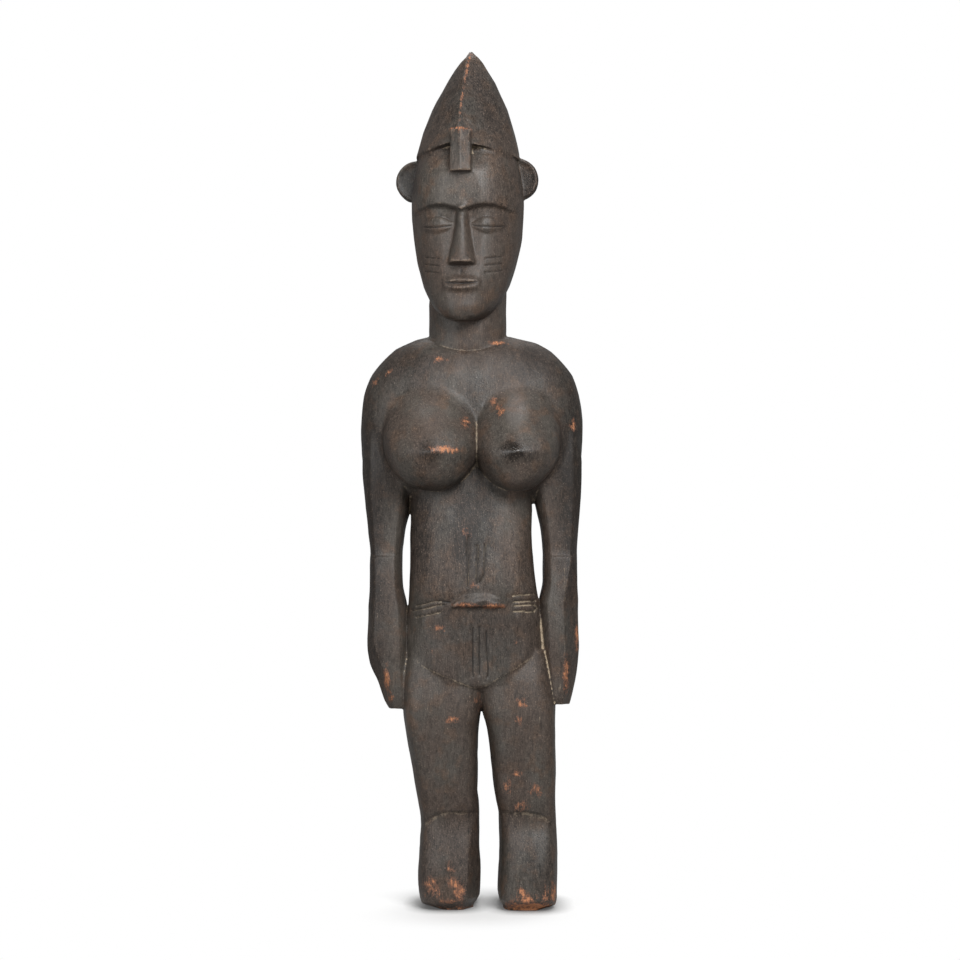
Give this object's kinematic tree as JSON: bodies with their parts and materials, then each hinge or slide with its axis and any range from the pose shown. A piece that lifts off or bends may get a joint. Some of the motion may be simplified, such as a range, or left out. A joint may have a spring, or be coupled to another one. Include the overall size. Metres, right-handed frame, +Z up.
{
  "type": "standing wooden figure",
  "caption": "Carved standing woman in dark wood with a high pointed coiffure, disc ears and arms free of the waist; stands on flat-sawn leg ends.",
  "frame": {"origin": "centre of the bounding box at the level of the soles", "axes": "+Z up to the tip of the coiffure, -Y the way the figure faces, +X towards the figure's left hand"},
  "size_m": [0.2217, 0.1613, 0.8533],
  "materials": {
    "wood": "dark hand-worn patina, satin where it is rubbed, with bare orange-brown wood on worn edges"
  },
  "bodies": {
    "root": {"carved_figure": "wood"}
  },
  "joints": []
}
